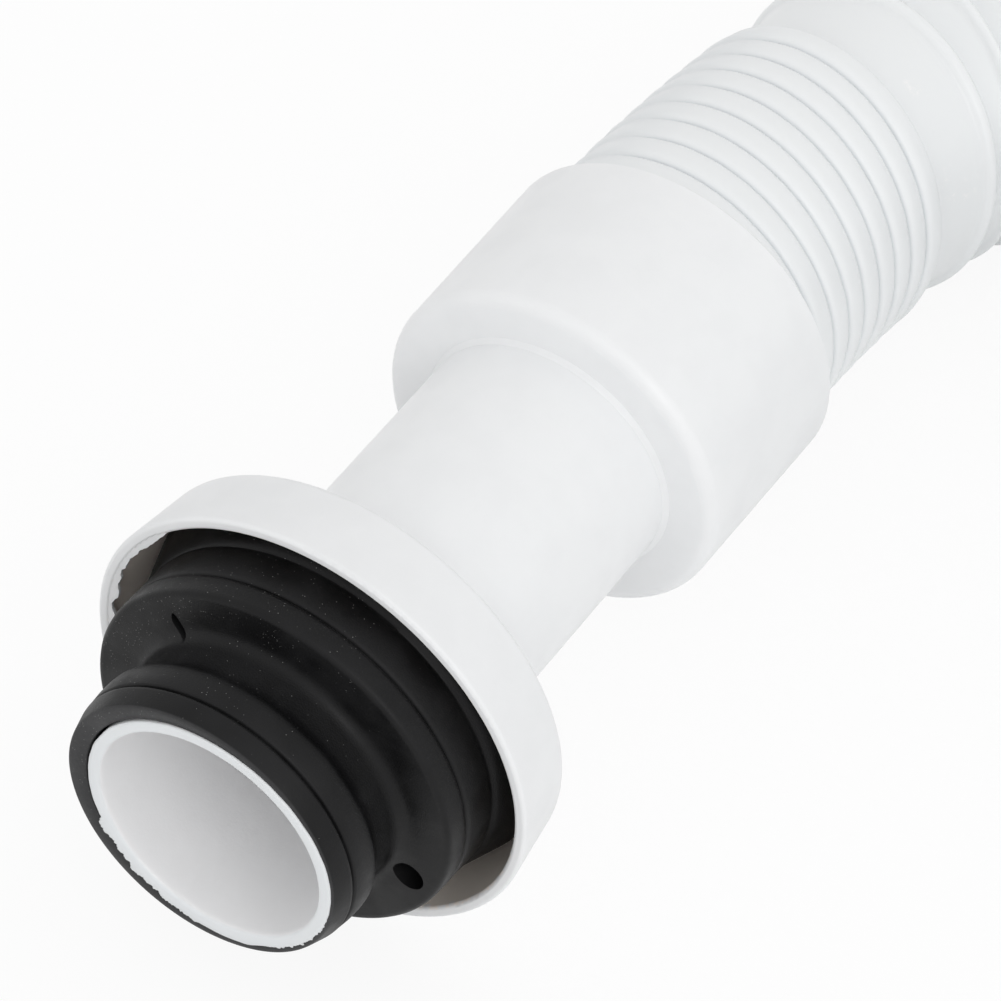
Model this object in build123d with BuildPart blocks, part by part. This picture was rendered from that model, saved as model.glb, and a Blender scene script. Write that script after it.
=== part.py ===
from build123d import *

import os
from math import atan, cos, degrees, radians, sin

os.makedirs("parts", exist_ok=True)

# Flexible S-trap waste pipe for a basin, in millimetres, lying on its side as it comes to rest.
# The origin is the centre of the outlet mouth, +Y runs up the pipe from the mouth and +Z is up.

# Outlet spigot: a 32 mm waste pipe that widens into a socket for the hose.
pipe_r = 16.0
pipe_wall = 1.5
spigot_length = 68.8
shoulder_round = 1.6
shoulder_root = 0.6
socket_r = 22.4
socket_flare = 0.25
socket_wall = 1.8
socket_length = 26.7
socket_depth = 20.0
socket_lip = 0.5

# Rubber plug: a small step for a 40 mm drain, a large step for a 50 mm drain and a conical skirt.
plug_front_r = 17.6
plug_small_r = 18.3
plug_lip_length = 2.7
plug_groove_width = 0.5
plug_groove_depth = 0.45
plug_small_length = 6.8
plug_neck_r = 17.1
plug_neck_round = 1.4
plug_step_y = 12.6
plug_step_round = 0.8
plug_large_r = 23.5
plug_ridge_length = 3.2
plug_large_length = 8.2
plug_skirt_r = 25.9
plug_length = 27.0
plug_hole_r = 1.8
plug_hole_depth = 3.0
plug_hole_at_r = 19.9
plug_hole_angle = -24.0
plug_slit_length = 3.1
plug_slit_width = 0.8
plug_slit_depth = 1.6
plug_slit_at_r = 19.5
plug_slit_angle = 127.5

# Drain cover: a shallow cup that slides on the pipe, open towards the outlet.
cover_rim_r = 28.65
cover_back_r = 27.4
cover_wall = 1.55
cover_plate = 1.8
cover_depth = 9.9
cover_back_round = 1.0
cover_lip_round = 0.5
cover_gap = 0.3
cover_clearance = 0.1

# Bellows hose: the wall, and the outline of a folded and of an open pleat.
hose_wall = 1.1
groove_r = 19.2
foot_r = 20.1
ridge_r = 20.6
groove_width = 0.8
valley_r = 17.6
bead_root_r = 19.65
bead = 1.9
undercut = 0.9
folded_pitch = 4.0
folded_spread = 0.45
sprung_pitch = 12.4
open_pitch = 13.8

# Route of the hose: folded pleats, one sprung half open, two bends and a folded tail.
# Heading is the way the centreline goes, clockwise from +Y. Skew and nod are how far a pleat
# stands askew of it, to the right and downwards, where the hose sags out of the socket.
folded_pleats = 9
tail_pleats = 3
start_heading = -7.2
sprung_heading = 8.8
bend_turn = 180.0
start_skew = 12.0
sprung_skew = 1.5
folded_nod = 9.1
sprung_nod = 12.5
level_length = 79.0
descent_length = 76.0
ascent_length = 34.0

# Inlet: flanged tail in the hose's end, flat washer and captive coupling nut.
tail_r = 16.8
tail_wall = 1.8
tail_grip = 14.0
tail_free = 8.0
flange_thickness = 3.0
flange_clearance = 0.3
washer_thickness = 2.5
thread_r = 19.6
thread_relief = 0.5
washer_clearance = 0.5
nut_r = 23.6
nut_grip_r = 24.8
nut_ribs = 12
nut_rib_width = 3.4
nut_length = 22.0
nut_shoulder = 3.0
nut_chamfer = 1.0
nut_clearance = 0.1
nut_gap = 0.3

# Values that follow.
bore_r = pipe_r - pipe_wall
socket_bore_r = socket_r - socket_wall
socket_mouth_y = spigot_length + socket_length
socket_floor_y = socket_mouth_y - socket_depth
hose_bore_r = groove_r - hose_wall
plug_groove_end = plug_lip_length + plug_groove_width
plug_large_end = plug_step_y + plug_large_length
cover_bore_r = pipe_r + cover_clearance
cover_back_y = plug_length + cover_gap + cover_plate
cover_rim_y = cover_back_y - cover_depth
tail_bore_r = tail_r - tail_wall
flange_r = thread_r - flange_clearance


# Outlet spigot: pipe, square shoulder with a rounded edge, and socket with its bore.
with BuildPart() as outlet_spigot:
    with BuildSketch(Plane.XY) as section:
        with BuildLine():
            Polyline(
                (bore_r, 0),
                (pipe_r, 0),
                (pipe_r, spigot_length),
                (socket_r, spigot_length),
                (socket_r + socket_flare, socket_mouth_y),
                (socket_bore_r, socket_mouth_y),
                (socket_bore_r, socket_floor_y),
                (bore_r, socket_floor_y),
                close=True,
            )
        make_face()
        at_shoulder = section.vertices().filter_by_position(Axis.Y, spigot_length - 0.01, spigot_length + 0.01)
        fillet(at_shoulder.sort_by(Axis.X)[-1], shoulder_round)
        at_root = section.vertices().filter_by_position(Axis.Y, spigot_length - 0.01, spigot_length + 0.01)
        chamfer(at_root.sort_by(Axis.X)[0], shoulder_root)
        chamfer(section.vertices().group_by(Axis.Y)[-1].sort_by(Axis.X)[-1], socket_lip)
    revolve(axis=Axis.Y)


# Rubber plug: lip, groove, small step, rounded neck, large step with its ridge, and skirt.
with BuildPart() as rubber_plug:
    with BuildSketch(Plane.XY) as section:
        with BuildLine():
            Polyline(
                (pipe_r, 0),
                (plug_front_r, 0),
                (plug_small_r, plug_lip_length),
                (plug_small_r - plug_groove_depth, plug_lip_length + plug_groove_width / 2),
                (plug_small_r, plug_groove_end),
                (plug_small_r, plug_small_length),
                (plug_neck_r, plug_small_length + plug_small_r - plug_neck_r),
                (plug_neck_r, plug_step_y),
                (plug_large_r, plug_step_y),
                (plug_large_r, plug_step_y + plug_ridge_length),
                (plug_large_r - plug_groove_depth, plug_step_y + plug_ridge_length + plug_groove_width / 2),
                (plug_large_r, plug_step_y + plug_ridge_length + plug_groove_width),
                (plug_large_r, plug_large_end),
                (plug_skirt_r, plug_length),
                (pipe_r, plug_length),
                close=True,
            )
        make_face()
        at_step = section.vertices().filter_by_position(Axis.Y, plug_step_y - 0.01, plug_step_y + 0.01)
        fillet(at_step.sort_by(Axis.X)[-1], plug_step_round)
        at_neck = section.vertices().filter_by_position(Axis.Y, plug_step_y - 0.01, plug_step_y + 0.01)
        fillet(at_neck.sort_by(Axis.X)[0], plug_neck_round)
    revolve(axis=Axis.Y)
    # A round blind hole and a short slit in the face of the large step.
    step_face = Plane(origin=(0, plug_step_y, 0), x_dir=(1, 0, 0), z_dir=(0, -1, 0))
    with BuildSketch(step_face):
        with PolarLocations(plug_hole_at_r, 1, start_angle=plug_hole_angle):
            Circle(plug_hole_r)
    extrude(amount=-plug_hole_depth, mode=Mode.SUBTRACT)
    with BuildSketch(step_face):
        with PolarLocations(plug_slit_at_r, 1, start_angle=plug_slit_angle):
            Rectangle(plug_slit_length, plug_slit_width)
    extrude(amount=-plug_slit_depth, mode=Mode.SUBTRACT)


# Drain cover: tapered skirt and back plate with the hole for the pipe.
with BuildPart() as drain_cover:
    with BuildSketch(Plane.XY) as section:
        with BuildLine():
            Polyline(
                (cover_bore_r, cover_back_y),
                (cover_back_r, cover_back_y),
                (cover_rim_r, cover_rim_y),
                (cover_rim_r - cover_wall, cover_rim_y),
                (cover_back_r - cover_wall, cover_back_y - cover_plate),
                (cover_bore_r, cover_back_y - cover_plate),
                close=True,
            )
        make_face()
        fillet(section.vertices().group_by(Axis.Y)[-1].sort_by(Axis.X)[-1], cover_back_round)
        fillet(section.vertices().group_by(Axis.Y)[0], cover_lip_round)
    revolve(axis=Axis.Y)


# Pleats in order, each with its length along the centreline and its turn to the right.
bend_pitch = (folded_pitch + open_pitch) / 2
turn_per_pleat = degrees((open_pitch - folded_pitch) / (2 * ridge_r))
folded_length = folded_pitch * folded_pleats
sag_turn = (sprung_heading - start_heading) / (folded_length + sprung_pitch)
right_turn = bend_turn - sprung_heading
right_pleats = round(right_turn / turn_per_pleat)
left_pleats = round(bend_turn / turn_per_pleat)

folded, sprung, bent = "folded", "sprung", "bent"
pleats = []
for i in range(folded_pleats):
    looser = folded_spread * (1 - 2 * i / (folded_pleats - 1))
    pleats.append((folded, folded_pitch + looser, sag_turn * (folded_pitch + looser)))
pleats += [(sprung, sprung_pitch, sag_turn * sprung_pitch)]
pleats += [(bent, bend_pitch, right_turn / right_pleats)] * right_pleats
pleats += [(bent, bend_pitch, -bend_turn / left_pleats)] * left_pleats
pleats += [(folded, folded_pitch, 0.0)] * tail_pleats
route_length = sum(length for kind, length, turn in pleats)
sprung_end = folded_length + sprung_pitch
descent = cover_rim_r - ridge_r
ascent = nut_grip_r - ridge_r


def between(t, *knots):
    """Value at t on straight lines through knots (t, value), level before and after them."""
    for (t0, v0), (t1, v1) in zip(knots, knots[1:]):
        if t < t1:
            return v0 + (v1 - v0) * max(t - t0, 0.0) / (t1 - t0)
    return knots[-1][1]


def height(t):
    """Height of the centreline: it lands on the floor in a curve and rises again to the nut."""
    to_land = max(1 - t / descent_length, 0.0)
    risen = min(max((t - route_length) / ascent_length + 1, 0.0), 1.0)
    return ascent * risen**2 * (3 - 2 * risen) - descent * (1 - to_land**2)


def ring_plane(x, y, t, heading):
    """Plane of a ring at t: askew in the sag, square to the centreline after it."""
    skew = between(t, (0.0, start_skew), (sprung_end, sprung_skew), (level_length, 0.0))
    yaw = radians(heading + skew)
    sag_nod = between(t, (0.0, 0.0), (folded_length, folded_nod), (sprung_end, sprung_nod), (level_length, 0.0))
    rise = height(t + 0.5) - height(t - 0.5) if t > route_length / 2 else 0.0
    nod = atan(rise) - radians(sag_nod)
    along = (sin(yaw) * cos(nod), cos(yaw) * cos(nod), sin(nod))
    return Plane(origin=(x, y, height(t)), x_dir=(cos(yaw), -sin(yaw), 0), z_dir=along)


# Rings of the outer and the inner skin, pleat by pleat, from the collar in the socket.
# The folded pleats close up inside to a plain bore, which needs a ring at every second one.
socket_end = Plane(origin=(0, socket_floor_y, 0), x_dir=(1, 0, 0), z_dir=(0, 1, 0))
collar_end = socket_end.offset(socket_depth - folded_pitch)
outer = [(socket_end, socket_bore_r), (collar_end, socket_bore_r)]
inner = [(socket_end, hose_bore_r)]
x, y, t, heading = 0.0, socket_mouth_y, 0.0, start_heading
for i, (kind, length, turn) in enumerate(pleats):
    if kind == folded:
        stations = [(0.0, groove_r, hose_bore_r if i % 2 == 0 else None)]
        stations += [(groove_width / 2, foot_r, None)]
        stations += [(length - groove_width / 2, ridge_r, None)]
    else:
        bead_at = length - undercut - bead
        stations = [(0.0, valley_r, valley_r - hose_wall), (bead_at, bead_root_r, bead_root_r - hose_wall)]
        stations += [(bead_at + bead, ridge_r, None)]
    for along, r_out, r_in in stations:
        part_turn = turn * along / length
        ring_x = x + along * sin(radians(heading + part_turn / 2))
        ring_y = y + along * cos(radians(heading + part_turn / 2))
        plane = ring_plane(ring_x, ring_y, t + along, heading + part_turn)
        outer.append((plane, r_out))
        if r_in is not None:
            inner.append((plane, r_in))
    x += length * sin(radians(heading + turn / 2))
    y += length * cos(radians(heading + turn / 2))
    t += length
    heading += turn

# Collar at the inlet end, square to +Y, gripping the flanged tail.
inlet_x, inlet_y, inlet_z = x, y, height(route_length)
tail_start = Plane(origin=(inlet_x, inlet_y, inlet_z), x_dir=(1, 0, 0), z_dir=(0, 1, 0))
tail_stop = tail_start.offset(tail_grip)
outer += [(tail_start, tail_r + hose_wall), (tail_stop, tail_r + hose_wall)]
inner += [(tail_start, tail_r), (tail_stop, tail_r)]

with BuildPart() as bellows_hose:
    for plane, r in outer:
        with BuildSketch(plane):
            Circle(r)
    loft(ruled=True)
    for plane, r in inner:
        with BuildSketch(plane):
            Circle(r)
    loft(ruled=True, mode=Mode.SUBTRACT)


# Inlet pieces are turned about the inlet axis, which starts where the tail enters the hose.
inlet = Plane(origin=(inlet_x, inlet_y, inlet_z), x_dir=(1, 0, 0), z_dir=(0, 0, 1))
inlet_axis = Axis((inlet_x, inlet_y, inlet_z), (0, 1, 0))
flange_back = tail_grip + tail_free
flange_front = flange_back + flange_thickness
nut_inside = flange_back - nut_gap
nut_back = nut_inside - nut_shoulder
nut_front = nut_back + nut_length
thread_back = flange_front + washer_thickness

with BuildPart() as inlet_cuff:
    with BuildSketch(inlet):
        with BuildLine():
            Polyline(
                (tail_bore_r, 0),
                (tail_r, 0),
                (tail_r, flange_back),
                (flange_r, flange_back),
                (flange_r, flange_front),
                (tail_bore_r, flange_front),
                close=True,
            )
        make_face()
    revolve(axis=inlet_axis)

with BuildPart() as sealing_washer:
    with BuildSketch(tail_start.offset(flange_front)):
        Circle(flange_r)
        Circle(tail_bore_r + washer_clearance, mode=Mode.SUBTRACT)
    extrude(amount=washer_thickness)

with BuildPart() as coupling_nut:
    with BuildSketch(inlet) as section:
        with BuildLine():
            Polyline(
                (tail_r + nut_clearance, nut_back),
                (nut_r, nut_back),
                (nut_r, nut_front),
                (thread_r, nut_front),
                (thread_r, thread_back),
                (thread_r + thread_relief, thread_back),
                (thread_r + thread_relief, nut_inside),
                (tail_r + nut_clearance, nut_inside),
                close=True,
            )
        make_face()
        chamfer(section.vertices().group_by(Axis.X)[-1], nut_chamfer)
    revolve(axis=inlet_axis)
    # Grip ribs, one of them straight down where the nut lies.
    with BuildSketch(tail_start.offset(nut_back + nut_chamfer)):
        with PolarLocations((nut_r + nut_grip_r) / 2 - nut_chamfer, nut_ribs):
            Rectangle(nut_grip_r - nut_r + 2 * nut_chamfer, nut_rib_width)
    extrude(amount=nut_length - 2 * nut_chamfer)

pieces = {
    "outlet_spigot": outlet_spigot,
    "rubber_plug": rubber_plug,
    "drain_cover": drain_cover,
    "bellows_hose": bellows_hose,
    "inlet_cuff": inlet_cuff,
    "sealing_washer": sealing_washer,
    "coupling_nut": coupling_nut,
}
for name, piece in pieces.items():
    piece.part.label = name
    export_step(piece.part, f"parts/{name}.step")
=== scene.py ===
from math import atan, atan2, cos, degrees, pi, radians, sin

import bmesh
import bpy
from mathutils import Matrix, Vector, noise


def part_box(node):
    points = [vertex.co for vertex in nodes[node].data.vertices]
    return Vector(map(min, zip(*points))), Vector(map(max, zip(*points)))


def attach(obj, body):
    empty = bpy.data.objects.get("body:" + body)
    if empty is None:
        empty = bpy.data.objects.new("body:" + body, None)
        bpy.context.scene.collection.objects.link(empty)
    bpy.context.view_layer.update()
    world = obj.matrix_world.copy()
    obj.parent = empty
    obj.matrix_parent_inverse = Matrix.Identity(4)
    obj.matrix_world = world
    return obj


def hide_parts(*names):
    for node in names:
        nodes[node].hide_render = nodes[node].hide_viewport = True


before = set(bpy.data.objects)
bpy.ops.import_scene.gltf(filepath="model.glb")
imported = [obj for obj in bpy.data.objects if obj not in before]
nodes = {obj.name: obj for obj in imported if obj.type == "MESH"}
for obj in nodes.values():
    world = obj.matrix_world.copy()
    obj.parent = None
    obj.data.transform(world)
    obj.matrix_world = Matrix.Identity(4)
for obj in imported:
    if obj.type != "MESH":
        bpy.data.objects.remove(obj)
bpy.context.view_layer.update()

# Sizes in millimetres, as in the part's source.
MM = 0.001
PIPE_R = 16.0
SOCKET_MOUTH_Y, SOCKET_FLOOR_Y, SOCKET_BORE_R = 95.5, 75.5, 20.6
COVER_RIM_R, COVER_BACK_R, COVER_RIM_Y, COVER_BACK_Y = 28.65, 27.4, 19.2, 29.1
HOSE_WALL, GROOVE_R, RIDGE_R = 1.1, 19.2, 20.6
VALLEY_R, BEAD_ROOT_R, BEAD, UNDERCUT = 17.6, 19.65, 1.9, 0.9
FOLDED_PITCH, FOLDED_SPREAD, SPRUNG_PITCH, OPEN_PITCH = 4.0, 0.45, 12.4, 13.8
FOLDED_PLEATS, TAIL_PLEATS = 9, 3
START_HEADING, SPRUNG_HEADING, BEND_TURN = -7.2, 8.8, 180.0
START_SKEW, SPRUNG_SKEW, FOLDED_NOD, SPRUNG_NOD = 12.0, 1.5, 9.1, 12.5
LEVEL_LENGTH, DESCENT_LENGTH, ASCENT_LENGTH = 79.0, 76.0, 34.0
TAIL_R, TAIL_GRIP, NUT_GRIP_R = 16.8, 14.0, 24.8
FLOOR_Z = -COVER_RIM_R


def linear(red, green, blue):
    """A colour as a picture shows it, 0 to 255, as the light values that shaders take."""
    def light(c):
        c /= 255
        return c / 12.92 if c <= 0.04045 else ((c + 0.055) / 1.055) ** 2.4
    return (light(red), light(green), light(blue), 1.0)


class Signal:
    """A socket among a material's nodes. Arithmetic on it adds Math nodes."""

    def __init__(self, tree, socket=None):
        self.tree = tree
        self.socket = socket

    def add(self, kind, settings=None, inputs=None, output=0):
        """Adds a node with its settings first, then its inputs' values or links, and gives one output."""
        node = self.tree.nodes.new(kind)
        for name, value in (settings or {}).items():
            setattr(node, name, value)
        for name, value in (inputs or {}).items():
            if isinstance(value, Signal):
                self.tree.links.new(value.socket, node.inputs[name])
            else:
                node.inputs[name].default_value = value
        return Signal(self.tree, node.outputs[output] if node.outputs else None)

    def math(self, operation, *values):
        return self.add("ShaderNodeMath", {"operation": operation}, dict(enumerate(values)))

    def __add__(self, other):
        return self.math("ADD", self, other)

    def __sub__(self, other):
        return self.math("SUBTRACT", self, other)

    def __rsub__(self, other):
        return self.math("SUBTRACT", other, self)

    def __mul__(self, other):
        return self.math("MULTIPLY", self, other)

    __radd__ = __add__
    __rmul__ = __mul__

    def rise(self, low, high):
        """0 up to low, 1 from high on, smooth between them. It falls where low is the larger."""
        ends = {"Value": self, "From Min": low, "From Max": high}
        return self.add("ShaderNodeMapRange", {"interpolation_type": "SMOOTHSTEP"}, ends)

    def blend(self, first, second):
        """First colour where this is 0, second where it is 1."""
        return self.add("ShaderNodeMix", {"data_type": "RGBA"}, {0: self, 6: first, 7: second}, 2)


def new_finish(name):
    """A bare material and the start of its nodes."""
    material = bpy.data.materials.new(name)
    material.use_nodes = True
    material.node_tree.nodes.clear()
    return material, Signal(material.node_tree)


def place_in_mm(start):
    """Place on the object in millimetres."""
    place = start.add("ShaderNodeTexCoord", output="Object")
    return start.add("ShaderNodeMapping", None, {"Vector": place, "Scale": (1 / MM,) * 3})


def grain(place, size, detail=2.0, roughness=0.5):
    """Uneven grain about size millimetres across, from 0 to 1."""
    values = {"Vector": place, "Scale": 1 / size, "Detail": detail, "Roughness": roughness}
    return place.add("ShaderNodeTexNoise", None, values)


def raised(height, millimetres, over=None):
    """Surface direction with height, from 0 to 1, standing that many millimetres proud."""
    values = {"Height": height, "Distance": millimetres * MM, "Strength": 1.0}
    if over is not None:
        values["Normal"] = over
    return height.add("ShaderNodeBump", None, values)


def split(place):
    """The three parts of a place."""
    parts = place.add("ShaderNodeSeparateXYZ", None, {0: place}).socket.node
    return [Signal(place.tree, part) for part in parts.outputs]


def seal(start, **values):
    """Principled shader with these inputs, as the material's surface."""
    inputs = {name.replace("_", " ").title().replace("Ior", "IOR"): value for name, value in values.items()}
    shader = start.add("ShaderNodeBsdfPrincipled", None, inputs)
    start.add("ShaderNodeOutputMaterial", None, {"Surface": shader})


# Building pieces: each is one mesh in its place, with its object at the origin.
SHARP_FROM = 48.0
MERGE = 0.001 * MM


def add_piece(name, bm, material, body):
    """The bmesh as a piece that moves with a body, smooth but for its sharp edges."""
    bmesh.ops.recalc_face_normals(bm, faces=bm.faces)
    for face in bm.faces:
        face.smooth = True
    mesh = bpy.data.meshes.new(name)
    bm.to_mesh(mesh)
    bm.free()
    mesh.set_sharp_from_angle(angle=radians(SHARP_FROM))
    mesh.materials.append(material)
    piece = bpy.data.objects.new(name, mesh)
    bpy.context.scene.collection.objects.link(piece)
    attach(piece, body)
    return piece


def turned(section, steps):
    """A closed section of (radius, y) in millimetres, turned about the pipe's axis."""
    bm = bmesh.new()
    corners = [bm.verts.new((r * MM, y * MM, 0.0)) for r, y in section]
    edges = [bm.edges.new(pair) for pair in zip(corners, corners[1:] + corners[:1])]
    bmesh.ops.spin(
        bm, geom=corners + edges, cent=(0, 0, 0), axis=(0, 1, 0), dvec=(0, 0, 0),
        angle=2 * pi, steps=steps, use_merge=True,
    )
    bmesh.ops.remove_doubles(bm, verts=bm.verts, dist=MERGE)
    return bm


def rolled(rows, columns, spot):
    """A sheet rolled up into a closed ring. Spot gives a point's place and shade for its row and column."""
    bm = bmesh.new()
    shade_of = bm.verts.layers.float.new("crease")
    bmesh.ops.create_grid(bm, x_segments=columns, y_segments=rows, size=0.5)
    for vert in bm.verts:
        row, column = round((vert.co.y + 0.5) * rows), round((vert.co.x + 0.5) * columns)
        place, vert[shade_of] = spot(row % rows, column % columns)
        vert.co = place * MM
    bmesh.ops.remove_doubles(bm, verts=bm.verts, dist=MERGE)
    return bm


def smooth_step(value, low, high):
    """0 up to low, 1 from high on, smooth between them."""
    part = min(max((value - low) / (high - low), 0.0), 1.0)
    return part * part * (3 - 2 * part)


# White plastic of the spigot, cover, cuff and nut.
WHITE = linear(244, 245, 246)
WHITE_DULL = linear(242, 243, 244)
MOTTLE_SIZE, MOTTLE = 6.0, (0.35, 0.7)
MILKY = {"subsurface_weight": 0.35, "subsurface_radius": (1.0, 1.0, 1.0), "subsurface_scale": 1.2 * MM}


def moulded_white(place, white=WHITE, dull=WHITE_DULL):
    """Colour, roughness and surface of moulded white plastic: faint mottling and a fine grain."""
    mottle = grain(place, MOTTLE_SIZE, 3.0).rise(*MOTTLE)
    fine = grain(place, 0.35, 2.0)
    swell = grain(place, 5.0, 1.0)
    surface = raised(fine, 0.012, over=raised(swell, 0.03))
    return mottle.blend(white, dull), 0.38 + 0.1 * mottle, surface


def white_plastic(name):
    material, start = new_finish(name)
    colour, gloss, surface = moulded_white(place_in_mm(start))
    seal(start, base_color=colour, roughness=gloss, normal=surface, **MILKY)
    return material


# The bore is painted a brighter white than the rest of the plastic, painted light inside it, and the sawn
# face around its mouth is duller.
BORE_PAINTED_LIGHT_WHITE = linear(250, 250, 251)
BORE_PAINTED_LIGHT_DULL = linear(248, 248, 249)
SAWN_FACE = linear(230, 233, 235)
SAWN_Y = (0.1, -0.2)


def bore_plastic():
    material, start = new_finish("bore plastic")
    place = place_in_mm(start)
    # Painted light: a brighter white for the bore than for the rest of the plastic.
    colour, gloss, surface = moulded_white(place, BORE_PAINTED_LIGHT_WHITE, BORE_PAINTED_LIGHT_DULL)
    sawn = split(place)[1].rise(*SAWN_Y)
    seal(start, base_color=sawn.blend(colour, SAWN_FACE), roughness=gloss, normal=surface, **MILKY)
    return material


# The cover is a little greyer. Its inside is tinted warm up to a ragged line near its rim: partly a stain
# from the rubber, partly a painted reflection of the rubber in the shaded inside.
COVER_WHITE = linear(240, 241, 242)
COVER_DULL = linear(238, 239, 240)
COVER_STAIN_AND_REFLECTION = linear(252, 241, 231)
INSIDE_WALL, INSIDE_BACK = (1.2, 1.4), (COVER_BACK_Y - 0.8, COVER_BACK_Y - 1.0)
TINT_EDGE, TINT_RAGGED = (-1.0, -0.4), 2.0
COVER_MILKY = {**MILKY, "subsurface_weight": 0.2, "subsurface_scale": 0.4 * MM}


def cover_plastic():
    material, start = new_finish("cover plastic")
    place = place_in_mm(start)
    colour, gloss, surface = moulded_white(place, COVER_WHITE, COVER_DULL)
    x, y, z = split(place)
    squares = x * x + z * z
    radius = squares.math("SQRT", squares)
    taper = (COVER_RIM_R - COVER_BACK_R) / (COVER_BACK_Y - COVER_RIM_Y)
    depth_in_wall = COVER_RIM_R - (y - COVER_RIM_Y) * taper - radius
    ragged = grain(place, 1.3, 4.0, 0.6) * TINT_RAGGED
    # Warm tint inside the cover: partly stain, partly a painted reflection of the rubber.
    stain_and_reflection = depth_in_wall.rise(*INSIDE_WALL) * (y - ragged - COVER_RIM_Y).rise(*TINT_EDGE)
    stain_and_reflection = stain_and_reflection * y.rise(*INSIDE_BACK)
    seal(start, base_color=stain_and_reflection.blend(colour, COVER_STAIN_AND_REFLECTION), roughness=gloss, normal=surface, **COVER_MILKY)
    return material


# Black rubber: satin and finely rough, with a painted sheen that makes the plug's front face greyer.
# Pale dust lies on it, most of it at the upper left.
RUBBER = linear(16, 16, 17)
RUBBER_DULL = linear(25, 25, 26)
RUBBER_PAINTED_SHEEN = linear(62, 62, 63)
DUST = linear(150, 150, 148)
RUBBER_SHINE = 0.2
FRONT_FACE_Y = (0.3, 0.05)
SPECKS_PER_MM, SPECK_SIZE, SPECK_SHARE = 3.4, (0.2, 0.08), (0.73, 0.81)
DUSTY, DUST_TO_UPPER_LEFT = (0.58, 0.7), 0.008


def black_rubber(name):
    material, start = new_finish(name)
    place = place_in_mm(start)
    x, y, z = split(place)
    patches = grain(place, 6.0, 3.0).rise(0.35, 0.65)
    pores = grain(place, 0.18, 2.0)
    cells = start.add("ShaderNodeTexVoronoi", None, {"Vector": place, "Scale": SPECKS_PER_MM}, "Distance")
    chosen = start.add("ShaderNodeTexVoronoi", None, {"Vector": place, "Scale": SPECKS_PER_MM}, "Color")
    dusty = (grain(place, 2.2, 2.0) + DUST_TO_UPPER_LEFT * (z - x)).rise(*DUSTY)
    specks = cells.rise(*SPECK_SIZE) * chosen.rise(*SPECK_SHARE) * dusty
    # Painted sheen: the plug's front face is painted lighter, as if it caught the light.
    painted_sheen = y.rise(*FRONT_FACE_Y) * (0.5 + 0.5 * grain(place, 0.5, 3.0))
    colour = specks.blend(painted_sheen.blend(patches.blend(RUBBER, RUBBER_DULL), RUBBER_PAINTED_SHEEN), DUST)
    surface = raised(pores, 0.03, over=raised(grain(place, 2.5, 2.0), 0.05))
    gloss = 0.4 + 0.14 * patches
    seal(start, base_color=colour, roughness=gloss, normal=surface, specular_ior_level=RUBBER_SHINE)
    return material


# Pleated hose: thin white plastic with painted shade in its creases and on its upper left flank, and a few
# painted highlights on the sprung pleat.
HOSE_WHITE = linear(243, 245, 246)
HOSE_PAINTED_SHADE = linear(226, 229, 231)
HOSE_PAINTED_HIGHLIGHT = linear(252, 252, 252)
HIGHLIGHT_SPOTS = [((9.3, 137.4, 9.5), 2.0), ((17.2, 135.0, -0.8), 4.5)]


def hose_plastic():
    material, start = new_finish("hose plastic")
    place = place_in_mm(start)
    crease = start.add("ShaderNodeAttribute", {"attribute_name": "crease"}, output="Fac")
    mottle = grain(place, MOTTLE_SIZE, 3.0).rise(*MOTTLE)
    highlighted = 0.0
    for spot, size in HIGHLIGHT_SPOTS:
        away = start.add("ShaderNodeVectorMath", {"operation": "DISTANCE"}, {0: place, 1: spot}, "Value")
        # Painted highlights: bright spots on the sprung pleat that stand in for glints off small dents.
        highlighted = highlighted + away.rise(size, 0.3 * size)
    colour = (highlighted * grain(place, 1.1, 4.0, 0.65).rise(0.55, 0.75)).blend(HOSE_WHITE, HOSE_PAINTED_HIGHLIGHT)
    surface = raised(grain(place, 0.3, 2.0), 0.01, over=raised(grain(place, 4.0, 1.0), 0.05))
    gloss = 0.34 + 0.1 * mottle
    # Painted shade in the creases and on the upper left flank, from the crease attribute.
    seal(start, base_color=crease.blend(colour, HOSE_PAINTED_SHADE), roughness=gloss, normal=surface, **MILKY)
    return material


# Route of the hose, as in the part's source: folded pleats, one sprung, two bends, a folded tail.
FOLDED, SPRUNG, BENT = "folded", "sprung", "bent"
FOLDED_LENGTH = FOLDED_PITCH * FOLDED_PLEATS
SPRUNG_END = FOLDED_LENGTH + SPRUNG_PITCH
SAG_TURN = (SPRUNG_HEADING - START_HEADING) / SPRUNG_END
TURN_PER_PLEAT = degrees((OPEN_PITCH - FOLDED_PITCH) / (2 * RIDGE_R))
BEND_PITCH = (FOLDED_PITCH + OPEN_PITCH) / 2
RIGHT_TURN = BEND_TURN - SPRUNG_HEADING
RIGHT_PLEATS, LEFT_PLEATS = round(RIGHT_TURN / TURN_PER_PLEAT), round(BEND_TURN / TURN_PER_PLEAT)


def pleats_in_order():
    """Each pleat's kind, its length along the centreline and its turn to the right."""
    pleats = []
    for i in range(FOLDED_PLEATS):
        length = FOLDED_PITCH + FOLDED_SPREAD * (1 - 2 * i / (FOLDED_PLEATS - 1))
        pleats.append((FOLDED, length, SAG_TURN * length))
    pleats += [(SPRUNG, SPRUNG_PITCH, SAG_TURN * SPRUNG_PITCH)]
    pleats += [(BENT, BEND_PITCH, RIGHT_TURN / RIGHT_PLEATS)] * RIGHT_PLEATS
    pleats += [(BENT, BEND_PITCH, -BEND_TURN / LEFT_PLEATS)] * LEFT_PLEATS
    pleats += [(FOLDED, FOLDED_PITCH, 0.0)] * TAIL_PLEATS
    return pleats


PLEATS = pleats_in_order()
ROUTE_LENGTH = sum(length for kind, length, turn in PLEATS)


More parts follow.
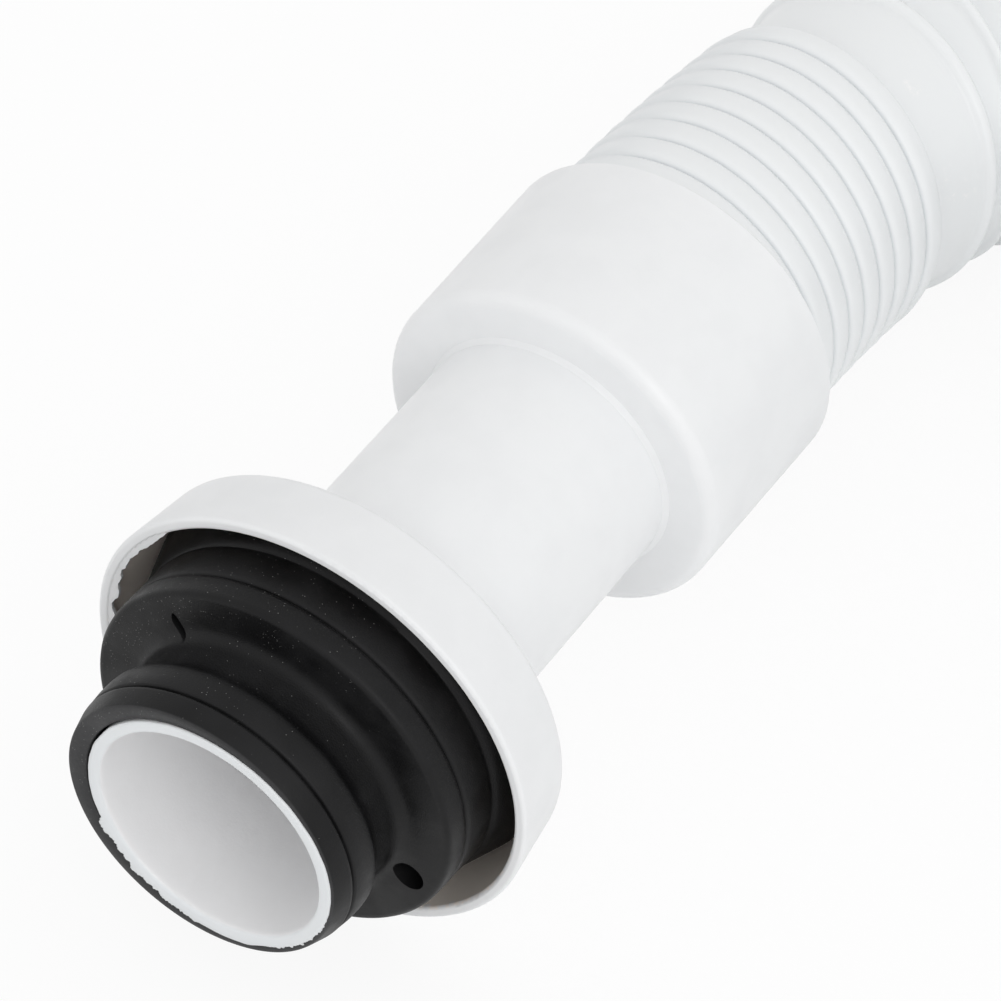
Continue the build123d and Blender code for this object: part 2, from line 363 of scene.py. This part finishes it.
def between(t, *knots):
    """Value at t on straight lines through knots (t, value), level before and after them."""
    for (t0, v0), (t1, v1) in zip(knots, knots[1:]):
        if t < t1:
            return v0 + (v1 - v0) * max(t - t0, 0.0) / (t1 - t0)
    return knots[-1][1]


def height(t):
    """Height of the centreline: it lands on the floor in a curve and rises again to the nut."""
    to_land = max(1 - t / DESCENT_LENGTH, 0.0)
    risen = min(max((t - ROUTE_LENGTH) / ASCENT_LENGTH + 1, 0.0), 1.0)
    ascent, descent = NUT_GRIP_R - RIDGE_R, COVER_RIM_R - RIDGE_R
    return ascent * risen**2 * (3 - 2 * risen) - descent * (1 - to_land**2)


def ring_frame(x, y, t, heading):
    """Centre of a ring at t and its two directions: askew in the sag, square to the centreline after it."""
    skew = between(t, (0.0, START_SKEW), (SPRUNG_END, SPRUNG_SKEW), (LEVEL_LENGTH, 0.0))
    yaw = radians(heading + skew)
    knots = [(0.0, 0.0), (FOLDED_LENGTH, FOLDED_NOD), (SPRUNG_END, SPRUNG_NOD), (LEVEL_LENGTH, 0.0)]
    sag_nod = between(t, *knots)
    rise = height(t + 0.5) - height(t - 0.5) if t > ROUTE_LENGTH / 2 else 0.0
    nod = atan(rise) - radians(sag_nod)
    along = Vector((sin(yaw) * cos(nod), cos(yaw) * cos(nod), sin(nod)))
    side = Vector((cos(yaw), -sin(yaw), 0.0))
    return Vector((x, y, height(t))), side, along.cross(side)


# Outline of a pleat's outside, as (place along it, radius, painted shade of the crease).
def folded_outline(length):
    """Rounded and highest at its near edge, then falling to its far edge."""
    outline = [(0.0, RIDGE_R - 0.85, 1.0), (0.1, RIDGE_R - 0.58, 0.7), (0.24, RIDGE_R - 0.32, 0.2)]
    outline += [(0.5, RIDGE_R - 0.13, 0.0), (0.9, RIDGE_R - 0.03, 0.0), (0.32 * length, RIDGE_R, 0.0)]
    outline += [(0.46 * length, RIDGE_R - 0.04, 0.0), (0.62 * length, RIDGE_R - 0.13, 0.0)]
    outline += [(0.76 * length, RIDGE_R - 0.25, 0.0), (length - 0.45, RIDGE_R - 0.4, 0.0)]
    return outline + [(length - 0.22, RIDGE_R - 0.53, 0.2), (length - 0.1, RIDGE_R - 0.66, 0.6)]


def flared_outline(length):
    """A long flare from the valley, a rounded bead at its end and the undercut behind it."""
    bead_at = length - UNDERCUT - BEAD
    flare = BEAD_ROOT_R - VALLEY_R
    bead_height = RIDGE_R - BEAD_ROOT_R
    outline = [(0.0, VALLEY_R, 1.0), (0.3, VALLEY_R + 0.1, 0.6), (0.7, VALLEY_R + 0.22, 0.2)]
    outline += [(f * bead_at, VALLEY_R + f * flare, 0.0) for f in (0.25, 0.45, 0.65, 0.85, 0.97)]
    bulge = [(0.06, 0.2), (0.16, 0.55), (0.3, 0.84), (0.46, 0.98), (0.66, 1.0), (0.86, 0.84), (1.0, 0.45)]
    outline += [(bead_at + f * BEAD, BEAD_ROOT_R + up * bead_height, 0.0) for f, up in bulge]
    return outline + [(length - 0.55, RIDGE_R - 1.5, 0.3), (length - 0.25, VALLEY_R + 0.5, 0.8)]


def hose_rings():
    """Rings of the outside, then of the inside on the way back: centre, directions, radius and shade."""
    square = (Vector((1.0, 0.0, 0.0)), Vector((0.0, 0.0, -1.0)))
    bore_r = GROOVE_R - HOSE_WALL
    start = Vector((0.0, SOCKET_FLOOR_Y, 0.0))
    outside = [(start, *square, SOCKET_BORE_R, 0.0)]
    outside += [(Vector((0.0, SOCKET_MOUTH_Y - FOLDED_PITCH, 0.0)), *square, SOCKET_BORE_R, 0.0)]
    inside = [(start, *square, bore_r, 0.0)]
    x, y, t, heading = 0.0, SOCKET_MOUTH_Y, 0.0, START_HEADING
    for kind, length, turn in PLEATS:
        if kind == FOLDED:
            outer, inner = folded_outline(length), [(0.0, bore_r)]
        else:
            outer = flared_outline(length)
            bead_at = length - UNDERCUT - BEAD
            inner = [(0.0, VALLEY_R - HOSE_WALL), (bead_at, BEAD_ROOT_R - HOSE_WALL)]
            inner += [(bead_at + 0.6 * BEAD, RIDGE_R - HOSE_WALL)]
            inner += [(bead_at + BEAD, RIDGE_R - 1.7 * HOSE_WALL)]
        for rings, outline in ((outside, outer), (inside, [(a, r, 0.0) for a, r in inner])):
            for along, radius, shade in outline:
                part_turn = turn * along / length
                way = radians(heading + part_turn / 2)
                ring = ring_frame(x + along * sin(way), y + along * cos(way), t + along, heading + part_turn)
                rings.append((*ring, radius, shade))
        x += length * sin(radians(heading + turn / 2))
        y += length * cos(radians(heading + turn / 2))
        t += length
        heading += turn
    for along in (0.0, TAIL_GRIP):
        centre = Vector((x, y + along, height(ROUTE_LENGTH)))
        outside.append((centre, *square, TAIL_R + HOSE_WALL, 0.0))
        inside.append((centre, *square, TAIL_R, 0.0))
    return outside + inside[::-1]


# The folded pleats are pressed nearly shut at the upper left, so their creases are faint there, and that
# flank is painted with an even shade instead.
SHUT_R = RIDGE_R - 0.34
SHUT_LEFT, SHUT_ABOVE = (0.2, 0.65), (-0.35, 0.25)
FLANK_SHADE, CREASE_SHADE = 0.55, 0.8
HOSE_COLUMNS = 128
WOBBLE, WOBBLE_SIZE = 0.035, 3.0


def pleated_hose():
    rings = hose_rings()
    folded = range(2, 2 + FOLDED_PLEATS * len(folded_outline(FOLDED_PITCH)))

    def spot(row, column):
        centre, side, up, radius, shade = rings[row]
        angle = 2 * pi * column / HOSE_COLUMNS
        out = side * cos(angle) + up * sin(angle)
        shut = smooth_step(-out.x, *SHUT_LEFT) * smooth_step(out.z, *SHUT_ABOVE) if row in folded else 0.0
        if GROOVE_R < radius < SHUT_R:
            radius += (SHUT_R - radius) * shut
        # Painted shade in the creases, and an even painted shade over the upper left flank where they are
        # pressed shut.
        shade *= CREASE_SHADE
        shade += (FLANK_SHADE - shade) * shut
        radius += WOBBLE * noise.noise((centre + out * radius) / WOBBLE_SIZE)
        return centre + out * radius, shade

    return rolled(len(rings), HOSE_COLUMNS, spot)


hose = add_piece("pleated_hose", pleated_hose(), hose_plastic(), "pipe")
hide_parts("bellows_hose")


# Rubber plug: leaning a little to one side on the pipe, with a blind hole and a slit in its step.
PLUG_LENGTH, PLUG_STEP_Y = 27.0, 12.6
PLUG_LEAN, LEAN_CURVE = Vector((-1.3, 0.0, -0.25)), 1.5
LEAN_AT_PIPE, PIPE_HOLD_R, FREE_R = 0.3, 16.1, 17.3
HOLE_R, HOLE_DEPTH, HOLE_AT_R, HOLE_ANGLE = 1.95, 3.0, 19.9, -24.6
SLIT_LENGTH, SLIT_WIDTH, SLIT_DEPTH, SLIT_TAPER, SLIT_BEND = 3.3, 1.2, 1.6, 0.75, 0.35
SLIT_AT_R, SLIT_ANGLE = 19.0, 126.5
PLUG_STEPS, HOLE_STEPS, SLIT_STEPS = 180, 40, 8
PLUG_SECTION = [
    (16.0, 0.15), (16.15, 0.0), (17.25, 0.0), (17.42, 0.03), (17.55, 0.13), (17.62, 0.3), (17.9, 1.2),
    (18.2, 2.2), (18.24, 2.45), (18.2, 2.58), (18.05, 2.68), (17.86, 2.76), (17.84, 2.92), (18.05, 3.02),
    (18.22, 3.1), (18.3, 3.25), (18.42, 4.4), (18.42, 5.6), (18.36, 6.3), (18.22, 6.62), (18.0, 6.88),
    (17.65, 7.25), (17.35, 7.7), (17.15, 8.4), (17.1, 9.6), (17.12, 10.8), (17.25, 11.5), (17.5, 12.0),
    (17.95, 12.38), (18.5, 12.56), (19.2, 12.6), (22.6, 12.6), (22.95, 12.66), (23.22, 12.82), (23.4, 13.1),
    (23.48, 13.5), (23.52, 15.3), (23.5, 15.6), (23.4, 15.75), (23.14, 15.86), (23.1, 16.02), (23.3, 16.14),
    (23.42, 16.3), (23.5, 16.7), (23.55, 18.6), (23.55, 20.3), (23.4, 20.6), (23.45, 20.85), (23.8, 21.05),
    (24.2, 21.9), (25.75, 26.6), (25.7, 26.9), (25.4, 27.0), (16.2, 27.0), (16.0, 26.85),
]


def cut_from(bm, *cutters):
    """The bmesh with closed shapes cut out of it."""
    body = bpy.data.objects.new("body", bpy.data.meshes.new("body"))
    bm.to_mesh(body.data)
    bm.free()
    bpy.context.scene.collection.objects.link(body)
    tools = []
    for shape in cutters:
        tool = bpy.data.objects.new("tool", bpy.data.meshes.new("tool"))
        shape.to_mesh(tool.data)
        shape.free()
        bpy.context.scene.collection.objects.link(tool)
        cut = body.modifiers.new("cut", "BOOLEAN")
        cut.operation, cut.solver, cut.object = "DIFFERENCE", "EXACT", tool
        tools.append(tool)
    bpy.context.view_layer.update()
    left = bmesh.new()
    left.from_object(body, bpy.context.evaluated_depsgraph_get())
    for thing in [body, *tools]:
        bpy.data.objects.remove(thing)
    return left


def on_step_face(angle, radius):
    """Turn and place of a cutter that goes into the plug's step face."""
    turn = Matrix.Rotation(radians(-angle), 4, "Y")
    into = Matrix.Rotation(radians(90), 4, "X")
    return turn @ Matrix.Translation(Vector((radius, PLUG_STEP_Y, 0.0)) * MM) @ into


def stepped_plug():
    bm = turned(PLUG_SECTION, PLUG_STEPS)
    bmesh.ops.recalc_face_normals(bm, faces=bm.faces)
    hole = bmesh.new()
    bmesh.ops.create_cone(
        hole, cap_ends=True, segments=HOLE_STEPS, radius1=HOLE_R * MM, radius2=HOLE_R * MM,
        depth=2 * HOLE_DEPTH * MM, matrix=on_step_face(HOLE_ANGLE, HOLE_AT_R),
    )
    slit = bmesh.new()
    bmesh.ops.create_grid(slit, x_segments=SLIT_STEPS, y_segments=1, size=0.5)
    walls = bmesh.ops.extrude_face_region(slit, geom=slit.faces[:])["geom"]
    raised_verts = [part for part in walls if isinstance(part, bmesh.types.BMVert)]
    bmesh.ops.translate(slit, verts=raised_verts, vec=(0.0, 0.0, 1.0))
    for vert in slit.verts:
        narrow = 1 - SLIT_TAPER * abs(2 * vert.co.x) ** 3
        across = SLIT_WIDTH * narrow * vert.co.y + SLIT_BEND * (1 - 4 * vert.co.x**2)
        vert.co = Vector((SLIT_LENGTH * vert.co.x, across, SLIT_DEPTH * (2 * vert.co.z - 1))) * MM
    bmesh.ops.recalc_face_normals(slit, faces=slit.faces)
    bmesh.ops.transform(slit, matrix=on_step_face(SLIT_ANGLE, SLIT_AT_R), verts=slit.verts)
    bm = cut_from(bm, hole, slit)
    for vert in bm.verts:
        from_axis = (vert.co.x**2 + vert.co.z**2) ** 0.5 / MM
        give = LEAN_AT_PIPE + (1 - LEAN_AT_PIPE) * smooth_step(from_axis, PIPE_HOLD_R, FREE_R)
        from_back = max(1 - vert.co.y / MM / PLUG_LENGTH, 0.0)
        vert.co += PLUG_LEAN * MM * give * from_back**LEAN_CURVE
    return bm


plug = add_piece("stepped_plug", stepped_plug(), black_rubber("plug rubber"), "pipe")
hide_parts("rubber_plug")


# Sawn lip of the pipe, with the surface of its bore behind it. Flakes of burr spread over the rubber at the
# lower left, and fine teeth stand at the bottom right. Angles are in degrees, as seen from the outlet.
LIP_STEPS = 1080
LIP_SECTION = [
    (14.6, 73.0), (14.42, 71.0), (14.42, 48.0), (14.42, 24.0), (14.42, 8.0), (14.42, 1.6), (14.42, 0.8),
    (14.43, 0.4), (14.46, 0.1), (14.52, -0.08), (14.61, -0.18), (14.75, -0.25), (14.95, -0.28), (15.3, -0.3),
    (15.55, -0.3), (15.78, -0.3), (15.93, -0.26), (16.02, -0.16), (16.02, 0.0), (15.9, 0.3),
]
BURR_FROM_R = 15.7
FLAKES_FROM, FLAKES_TO, SPREAD_TO, TEETH_FROM, TEETH_TO = 200.0, 262.0, 290.0, 298.0, 341.0
ARC_FADE = 6.0
BURR_SIZES = (0.6, 1.5, 0.28)
SPREAD, WAVE, TOOTH_HEIGHT, BURR_LIFT = 0.4, 0.06, 0.5, 0.12
FLAKE_FINE, FLAKE_COARSE, FLAKE_TOOTH = 0.5, 0.6, 0.3


def along_arc(angle, first, last):
    """1 between two angles in degrees, fading out over a few degrees at both ends."""
    begun = smooth_step(angle, first - ARC_FADE, first + ARC_FADE)
    return begun * (1 - smooth_step(angle, last - ARC_FADE, last + ARC_FADE))


def pipe_lip():
    bm = turned(LIP_SECTION, LIP_STEPS)
    for vert in bm.verts:
        out = Vector((vert.co.x, 0.0, vert.co.z)) / MM
        if out.length > BURR_FROM_R:
            at = out.normalized()
            angle = degrees(atan2(at.z, at.x)) % 360
            flakes, teeth = along_arc(angle, FLAKES_FROM, FLAKES_TO), along_arc(angle, TEETH_FROM, TEETH_TO)
            spread = along_arc(angle, FLAKES_FROM, SPREAD_TO)
            rim = at * PIPE_R
            fine, coarse, tooth = (noise.noise(rim / size + Vector((0.0, size, 0.0))) for size in BURR_SIZES)
            jag = WAVE * coarse + SPREAD * spread + TOOTH_HEIGHT * teeth * max(tooth, 0.0)
            jag += flakes * (FLAKE_FINE * fine + FLAKE_COARSE * coarse + FLAKE_TOOTH * tooth)
            vert.co += at * MM * jag
            vert.co.y += MM * BURR_LIFT * (flakes * fine + teeth * tooth)
    return bm


add_piece("pipe_lip", pipe_lip(), bore_plastic(), "pipe")


# Moulding flash inside the cover's rim at the upper left, with a ragged edge, on a bead hidden in the wall.
FLASH_STEPS, FLASH_R, FLASH_WIDTH, FLASH_FROM, FLASH_TO = 720, 27.4, 0.9, 134.0, 180.0
FLASH_COARSE, FLASH_FINE = (2.4, 0.75), (0.6, 0.16)
FLASH_SECTION = [(27.9, 19.26), (27.9, 19.75), (FLASH_R, 19.75), (FLASH_R, 19.32)]


def rim_flash():
    bm = turned(FLASH_SECTION, FLASH_STEPS)
    for vert in bm.verts:
        out = Vector((vert.co.x, 0.0, vert.co.z)) / MM
        if out.length < FLASH_R + 0.1:
            at = out.normalized()
            wide = along_arc(degrees(atan2(at.z, at.x)) % 360, FLASH_FROM, FLASH_TO)
            width = FLASH_WIDTH
            for (size, depth), apart in ((FLASH_COARSE, 2.0), (FLASH_FINE, 0.0)):
                width += depth * noise.noise(at * FLASH_R / size + Vector((apart, 0.0, 0.0)))
            vert.co -= at * MM * wide * width
    return bm


add_piece("rim_flash", rim_flash(), white_plastic("flash plastic"), "cover")


# Coupling nut: ribbed for the hand outside, with a screw thread inside. Lengths run from its back face.
NUT_BACK_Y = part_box("coupling_nut")[0][1] / MM
NUT_AXIS = Vector([(low + high) / 2 / MM for low, high in zip(*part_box("coupling_nut"))])
NUT_LENGTH, NUT_SHOULDER, NUT_THREAD_BACK, NUT_R, NUT_HOLE_R = 22.0, 3.0, 8.8, 23.6, 16.9
NUT_RIBS, NUT_CHAMFER, NUT_FACE_R = 12, 1.0, 20.0
THREAD_CREST_R, THREAD_DEPTH, THREAD_PITCH, THREAD_LEAD_IN, RELIEF_R = 19.6, 1.25, 2.309, 1.2, 20.1
RIB_SIDE = [(-4.7, 0.0), (-4.15, 0.45), (-3.85, 0.85), (-3.3, 1.0), (0.0, 1.0), (3.3, 1.0), (3.85, 0.85)]
RIB_SIDE += [(4.15, 0.45), (4.7, 0.0), (8.0, 0.0), (11.5, 0.0), (15.0, 0.0), (18.5, 0.0), (22.0, 0.0)]
RIB_END = [(0.0, 0.0), (0.05, 0.6), (0.2, 0.9), (0.5, 1.0)]
THREAD_ROWS, THREAD_FADE = 64, 1.0
FLANK_FROM, FLANK_TO = 0.08, 0.42


def ribbed_nut():
    front = NUT_LENGTH - NUT_CHAMFER
    outer = [(NUT_HOLE_R, 0.0, 0.0), (NUT_FACE_R, 0.0, 0.0), (NUT_R - NUT_CHAMFER, 0.0, 0.0)]
    outer += [(NUT_R, NUT_CHAMFER + at, rib) for at, rib in RIB_END]
    outer += [(NUT_R, front - at, rib) for at, rib in RIB_END[::-1]]
    outer += [(NUT_R - NUT_CHAMFER, NUT_LENGTH, 0.0), (THREAD_CREST_R + THREAD_LEAD_IN, NUT_LENGTH, 0.0)]
    thread_front = NUT_LENGTH - THREAD_LEAD_IN
    step = (thread_front - NUT_THREAD_BACK) / THREAD_ROWS
    thread = [thread_front - step * i for i in range(THREAD_ROWS + 1)]
    inner = [(RELIEF_R, NUT_THREAD_BACK, 0.0), (RELIEF_R, NUT_SHOULDER, 0.0), (NUT_HOLE_R, NUT_SHOULDER, 0.0)]
    rib_height = NUT_GRIP_R - NUT_R

    def spot(row, column):
        sector, place_in_sector = divmod(column, len(RIB_SIDE))
        part_angle, side = RIB_SIDE[place_in_sector]
        angle = sector * 360 / NUT_RIBS + part_angle
        if len(outer) <= row < len(outer) + len(thread):
            y = thread[row - len(outer)]
            turn = (y / THREAD_PITCH + angle / 360) % 1
            groove = smooth_step(0.5 - abs(turn - 0.5), FLANK_FROM, FLANK_TO)
            ends = smooth_step(y, NUT_THREAD_BACK, NUT_THREAD_BACK + THREAD_FADE)
            radius = THREAD_CREST_R + THREAD_DEPTH * groove * ends
        else:
            radius, y, rib = outer[row] if row < len(outer) else inner[row - len(outer) - len(thread)]
            radius += rib_height * rib * side
        at = radians(angle)
        return Vector((NUT_AXIS.x + radius * cos(at), NUT_BACK_Y + y, NUT_AXIS.z + radius * sin(at))), 0.0

    return rolled(len(outer) + len(thread) + len(inner), NUT_RIBS * len(RIB_SIDE), spot)


nut = add_piece("ribbed_nut", ribbed_nut(), white_plastic("nut plastic"), "nut")
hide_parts("coupling_nut")


# Finishes of the solids that stay.
FINISHES = {
    "outlet_spigot": white_plastic("white plastic outlet_spigot"),
    "inlet_cuff": white_plastic("white plastic inlet_cuff"),
    "drain_cover": cover_plastic(),
    "sealing_washer": black_rubber("washer rubber"),
}
for name, material in FINISHES.items():
    nodes[name].data.materials.clear()
    nodes[name].data.materials.append(material)


# Camera at the photograph's viewing angle.
CAMERA_AT = Vector((228.27, -296.38, 445.13)) * MM
CAMERA_RIGHT = Vector((0.84115, 0.54080, 0.0))
CAMERA_UP = Vector((-0.39208, 0.60984, 0.68877))
LENS, SENSOR = 191.58, 36.0
camera = bpy.data.objects.new("camera", bpy.data.cameras.new("camera"))
camera.data.lens, camera.data.sensor_width = LENS, SENSOR
camera.data.clip_start, camera.data.clip_end = 0.01, 20.0
turn = Matrix((CAMERA_RIGHT, CAMERA_UP, CAMERA_RIGHT.cross(CAMERA_UP))).transposed()
camera.matrix_world = Matrix.Translation(CAMERA_AT) @ turn.to_4x4()
bpy.context.scene.collection.objects.link(camera)
bpy.context.scene.camera = camera
bpy.context.scene.view_settings.view_transform = "Standard"


# White floor that keeps a faint shadow, white surroundings and a soft lamp to the right, in metres and watts.
FLOOR_GLOW, FLOOR_WHITE, FLOOR_SIZE = 0.9, 0.95, 3.0
FILL = 0.8
LAMP_AT, LAMP_TOWARDS, LAMP_SIZE, LAMP_WATTS = (0.836, -0.573, 0.806), (0.03, 0.06, 0.0), 0.8, 3.3


def seen_rays(start):
    """1 for rays that see the background itself: straight on, mirrored or through something clear."""
    kinds = ("Is Camera Ray", "Is Glossy Ray", "Is Transmission Ray")
    straight, mirrored, through = (start.add("ShaderNodeLightPath", output=kind) for kind in kinds)
    return start.math("MINIMUM", straight + mirrored + through, 1.0)


def white_floor():
    material, start = new_finish("white floor")
    rays = seen_rays(start)
    lit = start.add("ShaderNodeBsdfDiffuse", None, {"Color": (FLOOR_WHITE, FLOOR_WHITE, FLOOR_WHITE, 1)})
    glow = start.add("ShaderNodeEmission", None, {"Color": (1, 1, 1, 1), "Strength": 1.0})
    both = start.add("ShaderNodeMixShader", None, {0: rays * FLOOR_GLOW, 1: lit, 2: glow})
    start.add("ShaderNodeOutputMaterial", None, {"Surface": both})
    return material


def lamp(name, at, towards, size, watts):
    light = bpy.data.lights.new(name, "AREA")
    light.shape, light.size, light.energy = "DISK", size, watts
    thing = bpy.data.objects.new(name, light)
    aim = Vector(towards) - Vector(at)
    thing.matrix_world = Matrix.Translation(at) @ aim.to_track_quat("-Z", "Y").to_matrix().to_4x4()
    thing.visible_camera = False
    bpy.context.scene.collection.objects.link(thing)


floor_mesh = bmesh.new()
bmesh.ops.create_grid(floor_mesh, x_segments=1, y_segments=1, size=FLOOR_SIZE)
bmesh.ops.translate(floor_mesh, verts=floor_mesh.verts, vec=(0.0, 0.0, FLOOR_Z * MM))
floor_data = bpy.data.meshes.new("floor")
floor_mesh.to_mesh(floor_data)
floor_data.materials.append(white_floor())
floor = bpy.data.objects.new("floor", floor_data)
bpy.context.scene.collection.objects.link(floor)

lamp("soft lamp", LAMP_AT, LAMP_TOWARDS, LAMP_SIZE, LAMP_WATTS)

world = bpy.data.worlds.new("surroundings")
world.use_nodes = True
world.node_tree.nodes.clear()
bpy.context.scene.world = world
start = Signal(world.node_tree)
strength = FILL + seen_rays(start) * (1 - FILL)
sky = start.add("ShaderNodeBackground", None, {"Color": (1, 1, 1, 1), "Strength": strength})
start.add("ShaderNodeOutputWorld", None, {"Surface": sky})
